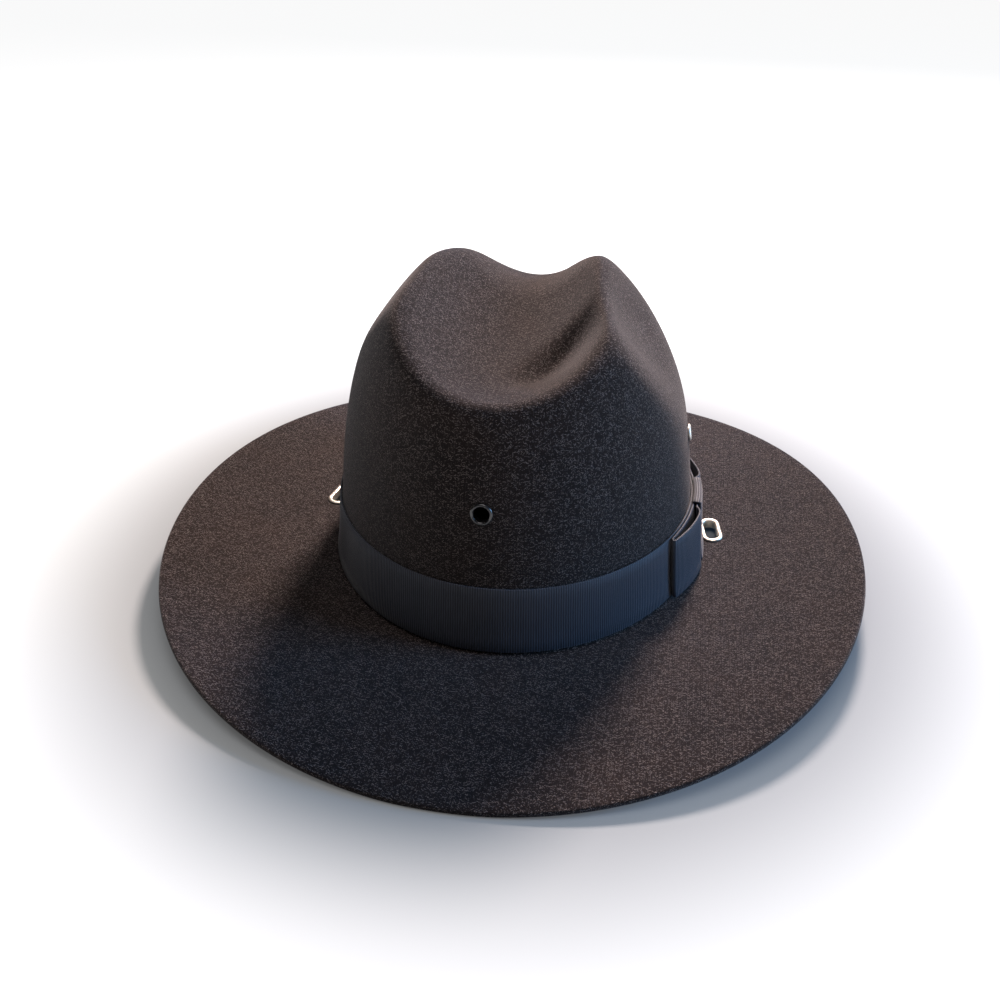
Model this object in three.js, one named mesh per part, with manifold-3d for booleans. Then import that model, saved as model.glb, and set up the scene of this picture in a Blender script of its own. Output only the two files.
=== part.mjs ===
// A felt campaign hat: stiff wide brim, crown with four dents, ribbed band with a flat bow, and five eyelets.
// Millimetres, +Z up. The hat stands on the front and back of its brim, with its front towards -Y,
// the wearer's left towards +X, and the origin under the middle of the brim.
import * as THREE from 'three';
import { mergeVertices } from 'three/addons/utils/BufferGeometryUtils.js';
import Module from 'manifold-3d';

const wasm = await Module();
wasm.setup();

// Felt body
const felt_thickness = 2.5;
const crown_length = 195.5;
const crown_width = 183;
const crown_height = 152.7;
const crown_setback = 3.8;
const crown_taper = 0.108;
const crown_taper_power = 0.6;
const crown_bluntness = 0.005;
const crown_side_rise = 1.2;
const brim_length = 357.8;
const brim_width = 340.6;
const brim_bluntness = -0.014;
const brim_front_fullness = 0.043;
const brim_side_rise = 19.6;
const brim_side_power = 0.86;
const brim_foot_drop = 2;
const brim_sweep_power = 1.5;
const brim_flattened_depth = 0.5;
const brim_break_radius = 1.5;
const brim_edge_rounding = 0.6;

// Roundness of the crown's shoulder: the exponent of its outline at the front, back and sides
const shoulder_front = 3.25;
const shoulder_back = 2.49;
const shoulder_side = -0.02;
const rim_rounding = 13;
const ridge_rounding = 10;

// Band and bow, all of one ribbon
const ribbon_thickness = 1;
const band_height = 31.6;
const bow_height = 31;
const bow_length = 94;
const bow_stand = 5.2;
const bow_setback = 5;
const knot_width = 24;
const knot_stand = 3.3;

// Eyelets, with the heights of the crown's own above its foot
const badge_hole = 6.8;
const badge_flange = 1.5;
const badge_height = 66.4;
const vent_hole = 4.6;
const vent_flange = 1.7;
const vent_height = 64.5;
const slot_width = 6;
const slot_length = 17;
const slot_flange = 2.2;
const slot_offset = 10.6;
const slot_setback = 18.8;
const eyelet_metal = 0.6;
const eyelet_lip = 0.9;

// Clearance between pieces that touch, and behind a flat washer on the felt's hollow side
const seat_gap = 0.3;
const washer_gap = 0.6;

// Mesh density
const columns = 64;
const crown_rows_outside = 26;
const crown_rows_inside = 15;
const brim_rows_outside = 7;
const brim_rows_inside = 4;
const band_rows = 3;
const knot_columns = 4;
const ring_columns = 16;

// The crown's rows crowd together by row_crowding at the share row_crowding_at of the way down
const row_crowding = 0.42;
const row_crowding_at = 0.42;

// The dents, each a hollow run out towards one side. Lengths run in shares: out and across from the middle
// in half lengths or half widths of the crown, heights in crown heights above the crown's foot.
//   centre    how far out the hollow's lowest place lies
//   floor     its height there
//   tilt      how much it falls on its way out
//   along     how much it curves up on the way out
//   across    how much it curves up to each side
//   narrowing how much tighter that curve gets towards the middle of the crown
//   shift     how far the hollow lies behind the middle line of its side
const dents = [
  {
    side: 'front', centre: 0.632, floor: 0.714, tilt: 0,
    along: 0.125, across: 0.476, narrowing: 1.12, shift: 0,
  },
  {
    side: 'back', centre: 0.712, floor: 0.775, tilt: 0,
    along: 0.25, across: 1.238, narrowing: 0, shift: 0,
  },
  {
    side: 'left', centre: 0.675, floor: 0.703, tilt: 0.672,
    along: 0.247, across: 0.55, narrowing: 0, shift: -0.086,
  },
  {
    side: 'right', centre: 0.675, floor: 0.809, tilt: 0.672,
    along: 0.247, across: 0.55, narrowing: 0, shift: -0.086,
  },
];
const ridge_softening = 0.01;

// The pinch folds in the front hollow, in the same shares. Each runs from start to end, its far bank is wider
// than its near bank, and it fades out at fold_reach of its length to either side of its middle.
const folds = [
  { start: [0.382, -0.139], end: [0.101, -0.525], depth: 0.0535, far_bank: 0.149, near_bank: 0.069 },
];
const fold_reach = 0.75;

// The ribbon loop of the bow in its own section: run along the band from the knot in shares of the loop's
// length, stand off the band in shares of the bow's stand.
const loop_section = [
  { run: 0.02, stand: 0 },
  { run: 0.15, stand: 0 },
  { run: 0.28, stand: 0 },
  { run: 0.42, stand: 0 },
  { run: 0.56, stand: 0 },
  { run: 0.69, stand: 0 },
  { run: 0.82, stand: 0 },
  { run: 0.94, stand: 0 },
  { run: 0.99, stand: 0.1 },
  { run: 1, stand: 0.26 },
  { run: 0.985, stand: 0.42 },
  { run: 0.9, stand: 0.56 },
  { run: 0.66, stand: 0.86 },
  { run: 0.42, stand: 1 },
  { run: 0.33, stand: 0.8 },
  { run: 0.27, stand: 0.46 },
  { run: 0.02, stand: 0.42 },
];

// The rolled faces of an eyelet: out over the felt in shares of its flange, off the felt in shares of its
// lip.
const upper_lip = [
  { out: 1, off: 0 },
  { out: 1, off: 0.45 },
  { out: 0.78, off: 1 },
  { out: 0.3, off: 1 },
  { out: 0, off: 0.3 },
];
const lower_lip = [
  { out: 0, off: 0.3 },
  { out: 0.25, off: 1 },
  { out: 0.85, off: 1 },
  { out: 0.85, off: 0 },
];

// The brim's cut edge: in from the edge in shares of its rounding, down in shares of the felt's thickness.
const cut_edge = [
  { inward: 1, down: 0 },
  { inward: 0, down: 0.3 },
  { inward: 0, down: 0.7 },
  { inward: 1, down: 1 },
];

// Steps for reading slopes off the surfaces, and rounds of halving to find a height on the wall
const angle_step = 0.01;
const lean_step = 0.004;
const least_lean = 0.03;
const halvings = 40;
const weld_distance = 1e-4;

const half_crown_length = crown_length / 2;
const half_crown_width = crown_width / 2;
const brim_foot = felt_thickness + brim_foot_drop;
const crown_foot = brim_foot + brim_break_radius;
const flat_share = (brim_foot_drop / (brim_foot_drop + brim_flattened_depth)) ** (1 / brim_sweep_power);
const edge_share = brim_edge_rounding / ((brim_width - crown_width) / 2);
const full_turn = Math.PI * 2;
const right_angle = Math.PI / 2;

const vec = (x, y, z) => new THREE.Vector3(x, y, z);

function softMin(a, b, rounding) {
  const share = Math.max(rounding - Math.abs(a - b), 0) / rounding;
  return Math.min(a, b) - (share * share * rounding) / 4;
}

// Plan outlines at an angle round the hat. An oval is square in its quarters by its bluntness, and the brim's
// is fuller towards the front.
function oval(angle, half_length, half_width, bluntness, front_fullness) {
  const swell = 1 + (bluntness * (Math.cos(4 * angle) - 1)) / 2;
  return {
    x: half_width * Math.cos(angle) * swell * (1 - front_fullness * Math.sin(angle)),
    y: half_length * Math.sin(angle) * swell,
  };
}

function crownOval(angle, out) {
  const foot = oval(angle, half_crown_length + out, half_crown_width + out, crown_bluntness, 0);
  return { x: foot.x, y: foot.y + crown_setback };
}

function brimOval(angle) {
  return oval(angle, brim_length / 2, brim_width / 2, brim_bluntness, brim_front_fullness);
}

// How far round to a side a plan point lies: 0 at the front and back, 1 at the sides.
function sideways(point) {
  return point.x ** 2 / (point.x ** 2 + point.y ** 2);
}

// The crown's foot line rises a little from the front and back to the sides.
function footRise(angle) {
  return crown_side_rise * sideways(crownOval(angle, 0));
}

function foldDepth(out_x, out_y) {
  let depth = 0;
  for (const fold of folds) {
    const run = [fold.end[0] - fold.start[0], fold.end[1] - fold.start[1]];
    const length = Math.hypot(run[0], run[1]);
    const from_start = [out_x - fold.start[0], out_y - fold.start[1]];
    const along = (from_start[0] * run[0] + from_start[1] * run[1]) / length;
    const beside = (from_start[0] * run[1] - from_start[1] * run[0]) / length;
    const bank = beside > 0 ? fold.near_bank : fold.far_bank;
    const end_fade = Math.min(Math.abs(along / length - 0.5) / fold_reach, 1);
    depth += fold.depth * (1 - end_fade ** 2) ** 2 * Math.exp(-((beside / bank) ** 2));
  }
  return depth * crown_height;
}

// Height of the dented top above a plan point, without the dome's own shape.
function hollowHeight(x, y) {
  const u = x / half_crown_width;
  const v = (y - crown_setback) / half_crown_length;
  const softened = Math.hypot(u, ridge_softening);
  const placed = { front: [-v, u], back: [v, u], left: [softened, v], right: [softened, v] };
  let height = Infinity;
  for (const dent of dents) {
    if (dent.side === 'left' && u < 0) continue;
    if (dent.side === 'right' && u >= 0) continue;
    const [out, across] = placed[dent.side];
    const past = out - dent.centre;
    const squeeze = 1 - dent.narrowing * past;
    const rise = dent.along * past * past - dent.tilt * past
      + dent.across * squeeze * (across - dent.shift) ** 2;
    const pinch = dent.side === 'front' ? foldDepth(u, v) : 0;
    const surface = crown_foot + crown_height * (dent.floor + rise) - pinch;
    height = height === Infinity ? surface : softMin(height, surface, ridge_rounding);
  }
  return height;
}

// A point of the crown's outer surface, by the angle round the hat and the lean, which runs from 0 at the top
// to a right angle at the foot.
function crownPoint(angle, lean) {
  const c = Math.cos(angle);
  const s = Math.sin(angle);
  const power = shoulder_back + ((shoulder_front - shoulder_back) * (1 - s)) / 2 + shoulder_side * c * c;
  const sine = Math.sin(lean);
  const cosine = Math.max(Math.cos(lean), 0);
  const reach = (sine ** power + cosine ** power) ** (-1 / power);
  const up = reach * cosine;
  const spread = reach * sine * (1 - crown_taper * up ** crown_taper_power);
  const foot = crownOval(angle, 0);
  const x = foot.x * spread;
  const y = (foot.y - crown_setback) * spread + crown_setback;
  const dome = crown_foot + footRise(angle) * (1 - up) + crown_height * up;
  return vec(x, y, softMin(dome, hollowHeight(x, y), rim_rounding));
}

function crownNormal(angle, lean) {
  const at = Math.min(Math.max(lean, least_lean), right_angle - lean_step);
  const round = crownPoint(angle + angle_step, at).sub(crownPoint(angle - angle_step, at));
  const down = crownPoint(angle, at + lean_step).sub(crownPoint(angle, at - lean_step));
  return down.cross(round).normalize();
}

// The lean at which the wall stands at a given height above the crown's foot, below the dents.
function leanAtHeight(angle, height) {
  const level = crown_foot + footRise(angle) + height;
  let low = right_angle / 2;
  let high = right_angle;
  for (let i = 0; i < halvings; i++) {
    const middle = (low + high) / 2;
    if (crownPoint(angle, middle).z > level) low = middle;
    else high = middle;
  }
  return (low + high) / 2;
}

// A point beside the crown's wall: height above its foot, and distance out from the felt.
function besideWall(angle, height, out) {
  const lean = leanAtHeight(angle, height);
  const normal = crownNormal(angle, lean);
  const level = vec(normal.x, normal.y, 0).normalize();
  return crownPoint(angle, lean).addScaledVector(level, out);
}

// A point of the brim's upper face: share 0 at the crown's foot, 1 at the cut edge.
function brimPoint(angle, share, below) {
  const inner = crownOval(angle, brim_break_radius);
  const outer = brimOval(angle);
  const foot_rise = brim_foot_drop + footRise(angle);
  const edge_rise = brim_side_rise * sideways(outer) ** brim_side_power - brim_flattened_depth;
  const rise = foot_rise + (edge_rise - foot_rise) * share ** brim_sweep_power;
  const x = inner.x + (outer.x - inner.x) * share;
  const y = inner.y + (outer.y - inner.y) * share;
  return vec(x, y, Math.max(rise, 0) + felt_thickness - below);
}

function brimNormal(angle, share) {
  const round = brimPoint(angle + angle_step, share, 0).sub(brimPoint(angle - angle_step, share, 0));
  const out = brimPoint(angle, share + angle_step, 0).sub(brimPoint(angle, share - angle_step, 0));
  return out.cross(round).normalize();
}

function geometryFrom(positions, triangles) {
  const geometry = new THREE.BufferGeometry();
  const coordinates = positions.flatMap((p) => [p.x, p.y, p.z]);
  geometry.setAttribute('position', new THREE.Float32BufferAttribute(coordinates, 3));
  geometry.setIndex(triangles);
  return geometry;
}

// Closed body from rings of points: each ring closes on itself, and the last ring joins the first.
function ringBody(rings) {
  const count = rings[0].length;
  const triangles = [];
  rings.forEach((_, i) => {
    const next = (i + 1) % rings.length;
    for (let j = 0; j < count; j++) {
      const k = (j + 1) % count;
      const [a, b, c, d] = [i * count + j, i * count + k, next * count + k, next * count + j];
      triangles.push(a, b, c, a, c, d);
    }
  });
  return outward(geometryFrom(rings.flat(), triangles));
}

// Closed body from strips that all run from one pole to the other.
function poleBody(strips, first_pole, last_pole) {
  const count = strips[0].length;
  const points = [...strips.flat(), first_pole, last_pole];
  const first = points.length - 2;
  const last = points.length - 1;
  const triangles = [];
  strips.forEach((_, i) => {
    const next = (i + 1) % strips.length;
    triangles.push(first, i * count, next * count);
    for (let j = 0; j < count - 1; j++) {
      const [a, b, c, d] = [i * count + j, i * count + j + 1, next * count + j + 1, next * count + j];
      triangles.push(a, b, c, a, c, d);
    }
    triangles.push(i * count + count - 1, last, next * count + count - 1);
  });
  return outward(geometryFrom(points, triangles));
}

// Turns a body's faces outwards if they point in.
function outward(geometry) {
  const p = geometry.getAttribute('position');
  const index = geometry.getIndex().array;
  let volume = 0;
  const corner = [vec(0, 0, 0), vec(0, 0, 0), vec(0, 0, 0)];
  for (let i = 0; i < index.length; i += 3) {
    corner.forEach((c, k) => c.fromBufferAttribute(p, index[i + k]));
    volume += corner[0].dot(corner[1].clone().cross(corner[2]));
  }
  if (volume < 0) {
    for (let i = 0; i < index.length; i += 3) [index[i], index[i + 1]] = [index[i + 1], index[i]];
  }
  return geometry;
}

function solidFrom(geometry) {
  const bare = mergeVertices(geometry, weld_distance);
  return new wasm.Manifold(new wasm.Mesh({
    numProp: 3,
    vertProperties: new Float32Array(bare.getAttribute('position').array),
    triVerts: new Uint32Array(bare.getIndex().array),
  }));
}

function geometryOf(solid) {
  const mesh = solid.getMesh();
  const geometry = new THREE.BufferGeometry();
  geometry.setAttribute('position', new THREE.BufferAttribute(mesh.vertProperties, 3));
  geometry.setIndex(new THREE.BufferAttribute(mesh.triVerts, 1));
  return geometry;
}

// Rows of the crown lie closer together over the dents and their rims than on the wall.
function leanOfRow(row, rows) {
  const share = row / rows;
  const wave = (s) => Math.sin(full_turn * (s - row_crowding_at));
  return right_angle * (share - (row_crowding / full_turn) * (wave(share) - wave(0)));
}

function feltGeometry() {
  const strips = [];
  for (let i = 0; i < columns; i++) {
    const angle = (full_turn * i) / columns;
    const strip = [];
    for (let row = 1; row <= crown_rows_outside; row++) {
      strip.push(crownPoint(angle, leanOfRow(row, crown_rows_outside)));
    }
    for (let row = 0; row < brim_rows_outside; row++) {
      strip.push(brimPoint(angle, row / brim_rows_outside, 0));
    }
    for (const e of cut_edge) {
      strip.push(brimPoint(angle, 1 - edge_share * e.inward, felt_thickness * e.down));
    }
    for (let row = brim_rows_inside; row >= 0; row--) {
      strip.push(brimPoint(angle, (flat_share * row) / brim_rows_inside, felt_thickness));
    }
    for (let row = crown_rows_inside; row >= 1; row--) {
      const lean = leanOfRow(row, crown_rows_inside);
      strip.push(crownPoint(angle, lean).addScaledVector(crownNormal(angle, lean), -felt_thickness));
    }
    strips.push(strip);
  }
  const top = crownPoint(0, 0);
  return poleBody(strips, top, top.clone().add(vec(0, 0, -felt_thickness)));
}

// An upright-sided plug along a local axis, used to cut the holes.
function plug(outline, frame, depth) {
  const rings = [-depth, depth].map((height) => outline.map((p) => frame(p.x, p.y, height)));
  const strips = outline.map((_, i) => [rings[0][i], rings[1][i]]);
  return poleBody(strips, frame(0, 0, -depth), frame(0, 0, depth));
}

// The outline of a round or slotted hole, with its edge moved out by a margin.
function holeOutline(width, length, margin) {
  const radius = width / 2 + margin;
  const straight = (length - width) / 2;
  const outline = [];
  for (let i = 0; i < ring_columns; i++) {
    const angle = (full_turn * (i + 0.5)) / ring_columns;
    const side = Math.sin(angle) > 0 ? 1 : -1;
    outline.push({ x: radius * Math.cos(angle), y: radius * Math.sin(angle) + side * straight });
  }
  return outline;
}

// A local frame at a surface point: x level along the surface, y across it, z along its outward normal.
function frameAt(origin, normal, level) {
  const across = normal.clone().cross(level).normalize();
  const sideways = across.clone().cross(normal);
  return (x, y, z) => origin.clone()
    .addScaledVector(sideways, x).addScaledVector(across, y).addScaledVector(normal, z);
}

// A metal eyelet set through the felt: a rounded lip above, a barrel, and a turned washer below.
function eyeletGeometry(width, length, flange, frame) {
  const top = seat_gap;
  const bottom = -felt_thickness - washer_gap;
  const section = [
    ...upper_lip.map((p) => ({ out: flange * p.out, up: top + eyelet_lip * p.off })),
    ...lower_lip.map((p) => ({ out: flange * p.out, up: bottom - eyelet_lip * p.off })),
    { out: eyelet_metal, up: bottom },
    { out: eyelet_metal, up: top },
  ];
  const edge = section.map((s) => holeOutline(width, length, s.out).map((p) => frame(p.x, p.y, s.up)));
  const rings = edge[0].map((_, i) => edge.map((line) => line[i]));
  return ringBody(rings);
}

function holePlug(width, length, frame) {
  return plug(holeOutline(width, length, eyelet_metal + seat_gap), frame, felt_thickness * 3);
}

// Where each eyelet sits: on the crown by an angle and a height, or on the brim beside the crown.
function wallFrame(angle, height) {
  const lean = leanAtHeight(angle, height);
  const normal = crownNormal(angle, lean);
  return frameAt(crownPoint(angle, lean), normal, vec(0, 0, 1).cross(normal).normalize());
}

function brimFrame(side) {
  const angle = Math.asin((slot_setback - crown_setback) / half_crown_length);
  const turned = side > 0 ? angle : Math.PI - angle;
  const foot = brimPoint(turned, 0, 0);
  const edge = brimPoint(turned, 1, 0);
  const share = (slot_offset - brim_break_radius) / Math.hypot(edge.x - foot.x, edge.y - foot.y);
  const ahead = brimPoint(turned + angle_step, share, 0).sub(brimPoint(turned - angle_step, share, 0));
  const normal = brimNormal(turned, share);
  return frameAt(brimPoint(turned, share, 0), normal, ahead.cross(normal).normalize());
}

const vent = { width: vent_hole, length: vent_hole, flange: vent_flange, metal: 'pale_metal' };
const slot = { width: slot_width, length: slot_length, flange: slot_flange, metal: 'pale_metal' };
const eyelets = [
  {
    name: 'badge_eyelet', frame: wallFrame(-right_angle, badge_height),
    width: badge_hole, length: badge_hole, flange: badge_flange, metal: 'black_enamel',
  },
  { name: 'vent_eyelet_left', frame: wallFrame(0, vent_height), ...vent },
  { name: 'vent_eyelet_right', frame: wallFrame(Math.PI, vent_height), ...vent },
  { name: 'strap_eyelet_left', frame: brimFrame(1), ...slot },
  { name: 'strap_eyelet_right', frame: brimFrame(-1), ...slot },
];

function feltBody() {
  const cut = eyelets.reduce(
    (solid, e) => solid.subtract(solidFrom(holePlug(e.width, e.length, e.frame))),
    solidFrom(feltGeometry()),
  );
  return geometryOf(cut);
}

const band_bottom = seat_gap;
const band_top = band_bottom + band_height;
const band_face = seat_gap + ribbon_thickness;

function bandGeometry() {
  const rings = [];
  for (let i = 0; i < columns; i++) {
    const angle = (full_turn * i) / columns;
    const shares = Array.from({ length: band_rows + 1 }, (_, k) => k / band_rows);
    const heights = shares.map((share) => band_bottom + band_height * share);
    const inner = heights.map((height) => besideWall(angle, height, seat_gap));
    const outer = heights.map((height) => besideWall(angle, height, band_face));
    rings.push([...inner, ...outer.reverse()]);
  }
  return ringBody(rings);
}

// The bow is drawn on the band: run is the distance along it from the bow's middle, towards the front,
// and stand is the distance out from its face. A table of angles against run turns one into the other.
const bow_middle_height = (band_bottom + band_top) / 2;
const bow_start_angle = Math.asin((bow_setback - crown_setback) / half_crown_length);

function angleAtRun(run) {
  const direction = run > 0 ? -1 : 1;
  let angle = bow_start_angle;
  let gone = 0;
  let here = besideWall(angle, bow_middle_height, band_face);
  while (gone < Math.abs(run)) {
    const next = besideWall(angle + direction * angle_step, bow_middle_height, band_face);
    const piece = next.distanceTo(here);
    if (gone + piece >= Math.abs(run)) {
      return angle + (direction * angle_step * (Math.abs(run) - gone)) / piece;
    }
    gone += piece;
    angle += direction * angle_step;
    here = next;
  }
  return angle;
}

const onBand = (run, stand, height) => besideWall(angleAtRun(run), height, band_face + stand);

const half_ribbon = ribbon_thickness / 2;
const loop_bottom = bow_middle_height - bow_height / 2;
const loop_top = bow_middle_height + bow_height / 2;

// One loop of the bow: a strip of ribbon folded back on itself, open top and bottom like a flat sleeve.
function loopGeometry(towards_front) {
  const loop_length = bow_length / 2 - seat_gap;
  const depth = bow_stand - ribbon_thickness;
  const middle = loop_section.map((p) => new THREE.Vector2(
    seat_gap + half_ribbon + p.run * (loop_length - ribbon_thickness),
    seat_gap + half_ribbon + p.stand * depth,
  ));
  const rings = middle.map((p, i) => {
    const before = middle[(i + middle.length - 1) % middle.length];
    const after = middle[(i + 1) % middle.length];
    const tangent = after.clone().sub(before).normalize();
    const side = new THREE.Vector2(tangent.y, -tangent.x).multiplyScalar(half_ribbon);
    const outer = p.clone().add(side);
    const inner = p.clone().sub(side);
    const corner = (q, height) => onBand(towards_front * q.x, Math.max(q.y, seat_gap), height);
    return [
      corner(outer, loop_bottom),
      corner(outer, loop_top),
      corner(inner, loop_top),
      corner(inner, loop_bottom),
    ];
  });
  return ringBody(rings);
}

// The knot: ribbon wrapped over the middle of the bow and turned in above and below the loops.
function knotGeometry() {
  const inside = knot_stand + seat_gap;
  const outside = inside + ribbon_thickness;
  const low = loop_bottom - seat_gap;
  const high = loop_top + seat_gap;
  const section = [
    { stand: seat_gap, height: low - ribbon_thickness },
    { stand: outside - half_ribbon, height: low - ribbon_thickness },
    { stand: outside, height: low },
    { stand: outside, height: high },
    { stand: outside - half_ribbon, height: high + ribbon_thickness },
    { stand: seat_gap, height: high + ribbon_thickness },
    { stand: seat_gap, height: high },
    { stand: inside, height: high },
    { stand: inside, height: low },
    { stand: seat_gap, height: low },
  ];
  const slices = Array.from({ length: knot_columns + 1 }, (_, i) => {
    const run = knot_width * (i / knot_columns - 0.5);
    return section.map((p) => onBand(run, p.stand, p.height));
  });
  return cappedBody(slices);
}

// Closed body from slices of one outline, with its two ends capped.
function cappedBody(slices) {
  const count = slices[0].length;
  const triangles = [];
  for (let i = 0; i < slices.length - 1; i++) {
    for (let j = 0; j < count; j++) {
      const k = (j + 1) % count;
      const [a, b, c, d] = [i * count + j, i * count + k, (i + 1) * count + k, (i + 1) * count + j];
      triangles.push(a, b, c, a, c, d);
    }
  }
  const ends = THREE.ShapeUtils.triangulateShape(flatOutline(slices[0]), []);
  const last = (slices.length - 1) * count;
  for (const [a, b, c] of ends) {
    triangles.push(a, c, b);
    triangles.push(last + a, last + b, last + c);
  }
  return outward(geometryFrom(slices.flat(), triangles));
}

// The outline of an upright slice, read as distance from the hat's middle line and height.
function flatOutline(slice) {
  return slice.map((p) => new THREE.Vector2(Math.hypot(p.x, p.y), p.z));
}

const materials = {
  felt: new THREE.MeshStandardMaterial({ color: 0x2c211f, roughness: 0.95, metalness: 0 }),
  ribbon: new THREE.MeshStandardMaterial({ color: 0x1a1c26, roughness: 0.7, metalness: 0 }),
  black_enamel: new THREE.MeshStandardMaterial({ color: 0x121212, roughness: 0.3, metalness: 0.4 }),
  pale_metal: new THREE.MeshStandardMaterial({ color: 0xc9bfae, roughness: 0.35, metalness: 0.8 }),
};

function named(name, geometry, material) {
  const mesh = new THREE.Mesh(geometry, material);
  mesh.name = name;
  return mesh;
}

const hat = new THREE.Group();
hat.name = 'campaign_hat';
hat.add(named('felt_body', feltBody(), materials.felt));
hat.add(named('hat_band', bandGeometry(), materials.ribbon));

const bow = new THREE.Group();
bow.add(named('bow_front_loop', loopGeometry(1), materials.ribbon));
bow.add(named('bow_back_loop', loopGeometry(-1), materials.ribbon));
bow.add(named('bow_knot', knotGeometry(), materials.ribbon));
hat.add(bow);

for (const e of eyelets) {
  hat.add(named(e.name, eyeletGeometry(e.width, e.length, e.flange, e.frame), materials[e.metal]));
}

export default hat;
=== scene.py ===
"""A felt campaign hat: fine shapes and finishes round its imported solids, and the stage that it stands on."""

import math

import bpy
import numpy as np
from bpy.props import FloatProperty, FloatVectorProperty, PointerProperty
from mathutils import Matrix, Vector


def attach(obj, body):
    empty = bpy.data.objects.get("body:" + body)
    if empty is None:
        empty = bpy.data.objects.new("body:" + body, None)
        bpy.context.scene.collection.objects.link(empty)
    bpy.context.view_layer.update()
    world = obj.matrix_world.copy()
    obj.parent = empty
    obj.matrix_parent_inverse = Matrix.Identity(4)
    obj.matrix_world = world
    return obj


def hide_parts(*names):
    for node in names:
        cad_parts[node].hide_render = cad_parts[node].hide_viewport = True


bl_info = {
    "name": "Campaign Hat",
    "version": (1, 0, 0),
    "blender": (4, 5, 0),
    "location": "View3D > Sidebar > Hat",
    "description": "Builds a felt campaign hat with its band, bow and eyelets, and the stage it is shown on",
    "category": "Object",
}

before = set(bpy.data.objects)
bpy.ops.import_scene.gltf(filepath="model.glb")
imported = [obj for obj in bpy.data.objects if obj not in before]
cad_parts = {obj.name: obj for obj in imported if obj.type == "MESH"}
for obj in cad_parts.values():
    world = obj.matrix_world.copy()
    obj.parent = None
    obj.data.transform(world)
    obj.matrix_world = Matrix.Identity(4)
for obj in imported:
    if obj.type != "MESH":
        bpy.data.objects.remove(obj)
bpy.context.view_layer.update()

FULL_TURN = 2 * math.pi
RIGHT_ANGLE = math.pi / 2
MILLIMETRES = 1000
MERGE = 1e-6
SENSOR_WIDTH = 36

# The crown's dents, in shares of its half lengths, half widths and height, as in the solids' own source.
#   centre    how far out the hollow's lowest place lies
#   floor     its height there
#   tilt      how much it falls on its way out
#   along     how much it curves up on the way out
#   across    how much it curves up to each side
#   narrowing how much tighter that curve gets towards the middle of the crown
#   shift     how far the hollow lies behind the middle line of its side
DENTS = {
    "front": dict(centre=0.632, floor=0.714, tilt=0, along=0.125, across=0.476, narrowing=1.12, shift=0),
    "back": dict(centre=0.712, floor=0.775, tilt=0, along=0.25, across=1.238, narrowing=0, shift=0),
    "left": dict(centre=0.675, floor=0.703, tilt=0.672, along=0.247, across=0.55, narrowing=0, shift=-0.086),
    "right": dict(centre=0.675, floor=0.809, tilt=0.672, along=0.247, across=0.55, narrowing=0, shift=-0.086),
}

# The pinch folds in the front hollow, from start to end, with a wide far bank and a narrow near bank.
FOLDS = [
    dict(start=(0.382, -0.139), end=(0.101, -0.525), depth=0.0535, far_bank=0.149, near_bank=0.069),
]

# The bow's loop in its own section: run from the knot in shares of its length, stand in shares of its depth.
LOOP_SECTION = [
    dict(run=0.02, stand=0),
    dict(run=0.3, stand=0),
    dict(run=0.62, stand=0),
    dict(run=0.94, stand=0),
    dict(run=0.99, stand=0.1),
    dict(run=1, stand=0.26),
    dict(run=0.985, stand=0.42),
    dict(run=0.9, stand=0.56),
    dict(run=0.66, stand=0.86),
    dict(run=0.42, stand=1),
    dict(run=0.33, stand=0.8),
    dict(run=0.27, stand=0.46),
    dict(run=0.02, stand=0.42),
]

# An eyelet's section, from its outer edge above the felt round to its outer edge below it.
#   side  above the felt, or below it
#   out   out from the hole's edge in shares of the flange
#   off   off the felt in shares of the lip
EYELET_SECTION = [
    dict(side="above", out=1.0, off=0.0),
    dict(side="above", out=1.03, off=0.25),
    dict(side="above", out=0.97, off=0.6),
    dict(side="above", out=0.8, off=0.88),
    dict(side="above", out=0.55, off=1.0),
    dict(side="above", out=0.3, off=0.95),
    dict(side="above", out=0.1, off=0.72),
    dict(side="above", out=0.0, off=0.3),
    dict(side="below", out=0.0, off=0.3),
    dict(side="below", out=0.08, off=0.75),
    dict(side="below", out=0.3, off=1.0),
    dict(side="below", out=0.8, off=1.0),
    dict(side="below", out=0.85, off=0.5),
    dict(side="below", out=0.85, off=0.0),
]

# Layers of loose fibres on the felt, one fibre in each cell, in millimetres; offset is in cells.
FIBRE_LAYERS = [
    dict(cell=1.1, reach=0.5, width=0.13, offset=(0.0, 0.0, 0.0)),
    dict(cell=1.7, reach=0.8, width=0.12, offset=(3.7, 1.9, 5.3)),
    dict(cell=0.8, reach=0.34, width=0.11, offset=(7.1, 4.3, 0.6)),
]

# The soft round lamps. Each one's power is among the stage's settings, and all of them point at one place.
LAMP_AIM = (0, 0, 0.05)
LAMPS = [
    dict(name="key", place=(0.18, 0.92, 0.98), size=0.28, colour=(1.0, 0.8, 0.73)),
    dict(name="fill", place=(1.45, 0.05, 0.55), size=0.7, colour=(0.26, 0.55, 1.0)),
    dict(name="top", place=(0, -0.25, 1.35), size=0.9, colour=(1.0, 0.94, 0.94)),
]


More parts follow.
